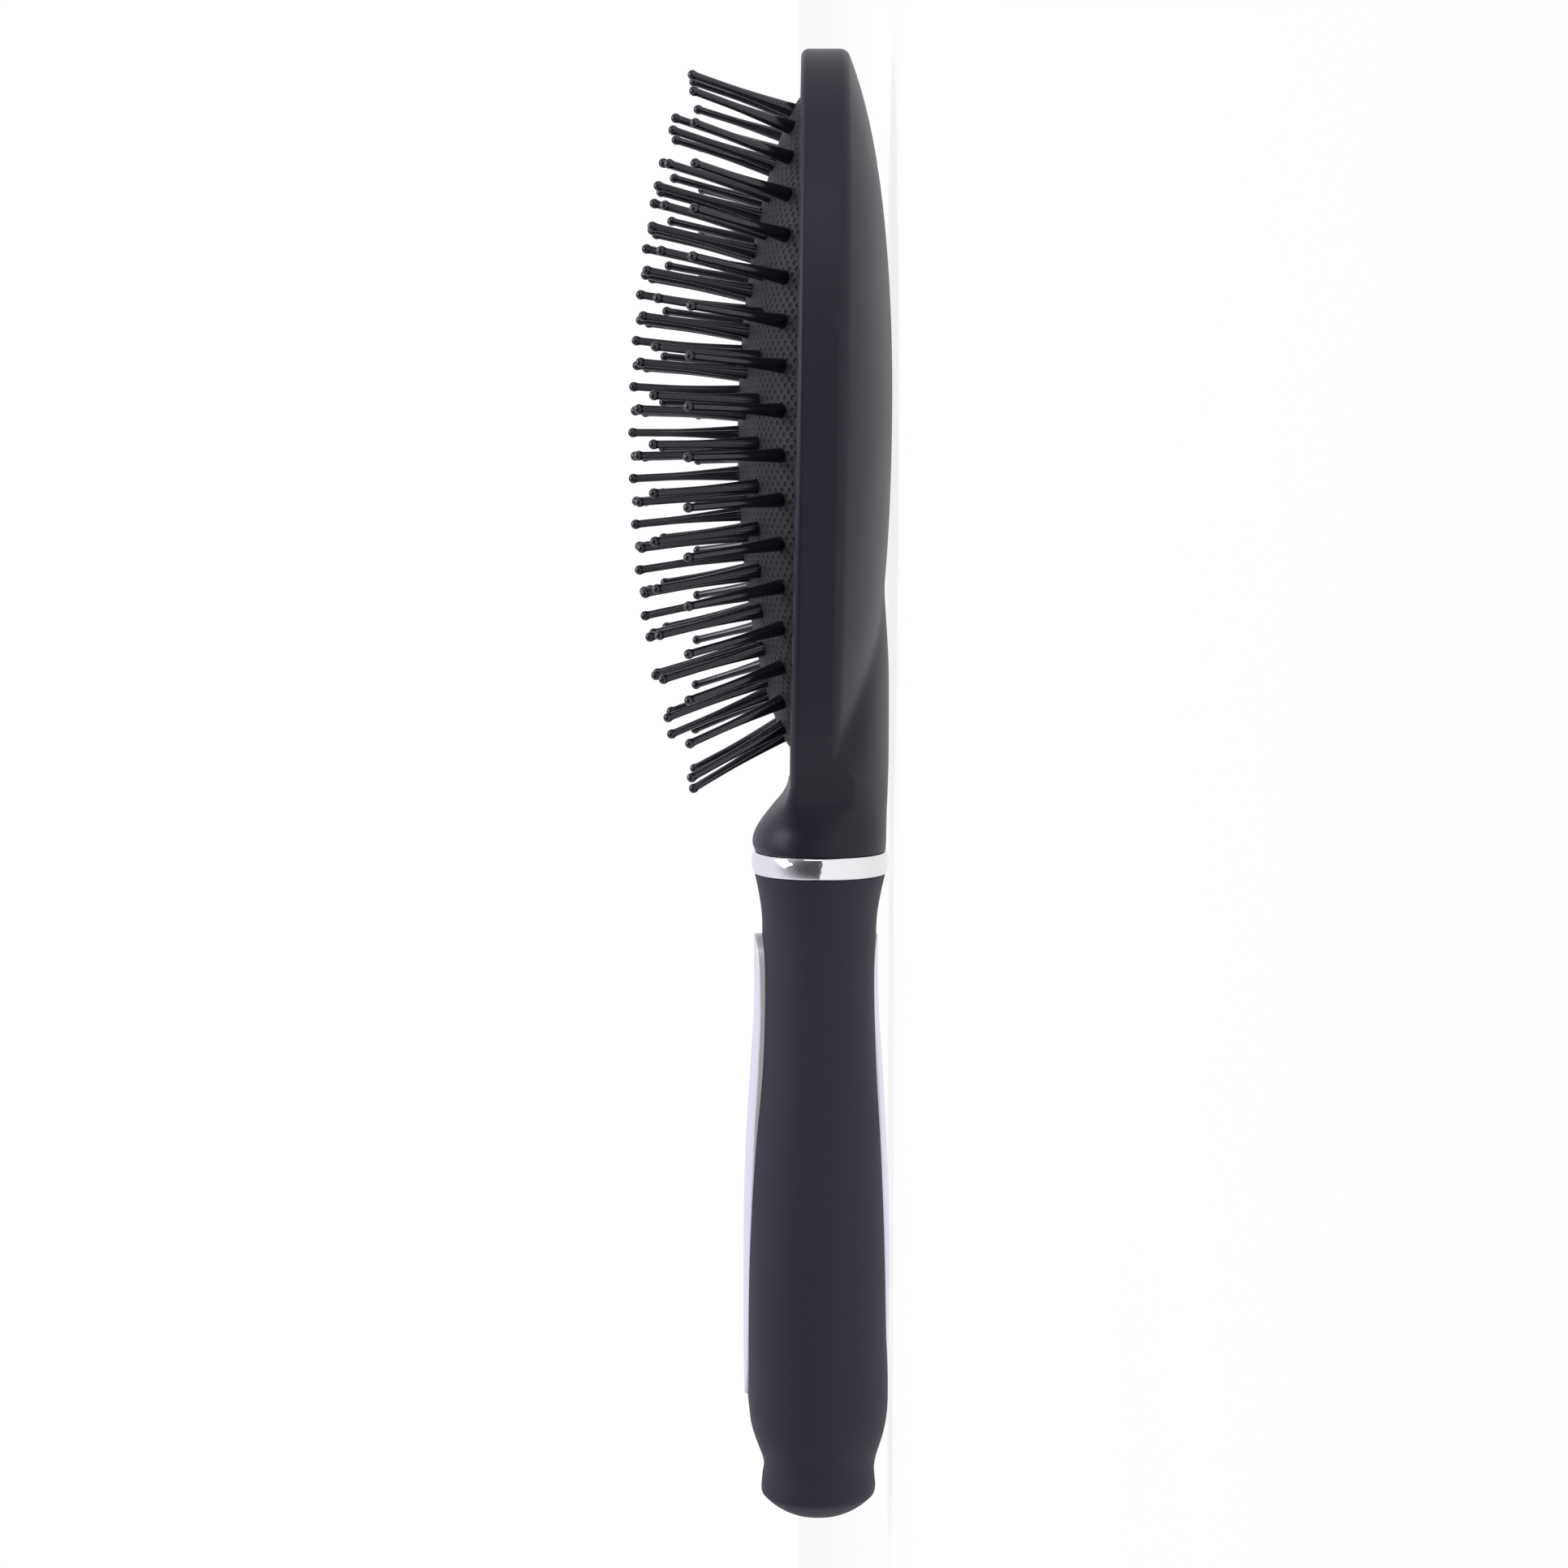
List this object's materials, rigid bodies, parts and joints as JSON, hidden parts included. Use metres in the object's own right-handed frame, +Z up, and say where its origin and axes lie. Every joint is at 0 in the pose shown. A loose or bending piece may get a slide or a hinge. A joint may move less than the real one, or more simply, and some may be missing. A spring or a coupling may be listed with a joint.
{
  "type": "paddle brush",
  "caption": "Cushioned paddle hair brush with ball-tipped pins in an oval air cushion, bright neck ring, soft black handle and silver inlays.",
  "frame": {"origin": "midway along the brush and across it, on the surface that its back lies on", "axes": "+X along the brush toward the tip of the head, +Y across it, +Z up, the way the pins point"},
  "size_m": [0.2394, 0.0686, 0.0425],
  "materials": {
    "soft_black": "soft-touch matte",
    "cushion_rubber": "matte, fine embossed dots",
    "pin_nylon": "polished",
    "ring_chrome": "mirror",
    "inlay_silver": "satin metallic lacquer",
    "core_plastic": "as moulded"
  },
  "bodies": {
    "root": {"head_shell": "soft_black", "air_cushion": "cushion_rubber", "bright_ring": "ring_chrome", "handle_core": "core_plastic", "handle_grip": "soft_black", "front_inlay": "inlay_silver", "back_inlay": "inlay_silver"},
    "centre_pins": {"pins_centre_rows": "pin_nylon"},
    "third_pins": {"pins_third_ring": "pin_nylon"},
    "second_pins": {"pins_second_ring": "pin_nylon"},
    "outer_pins": {"pins_outer_ring": "pin_nylon"}
  },
  "joints": [
    {"name": "cushion_press", "type": "slide", "parent": "root", "child": "centre_pins", "axis": [0, 0, -1], "range_m": [0, 0.003], "stiffness_N_per_m": 500, "deforming": ["air_cushion"]},
    {"name": "third_ring_press", "type": "slide", "parent": "root", "child": "third_pins", "axis": [0, 0, -1], "range_m": [0, 0.0024], "stiffness_N_per_m": 500},
    {"name": "second_ring_press", "type": "slide", "parent": "root", "child": "second_pins", "axis": [0, 0, -1], "range_m": [0, 0.0018], "stiffness_N_per_m": 500},
    {"name": "outer_ring_press", "type": "slide", "parent": "root", "child": "outer_pins", "axis": [0, 0, -1], "range_m": [0, 0.00075], "stiffness_N_per_m": 500}
  ],
  "couplings": [
    {"joint": "third_ring_press", "follows": "cushion_press", "ratio": 0.8},
    {"joint": "second_ring_press", "follows": "cushion_press", "ratio": 0.6},
    {"joint": "outer_ring_press", "follows": "cushion_press", "ratio": 0.25}
  ]
}
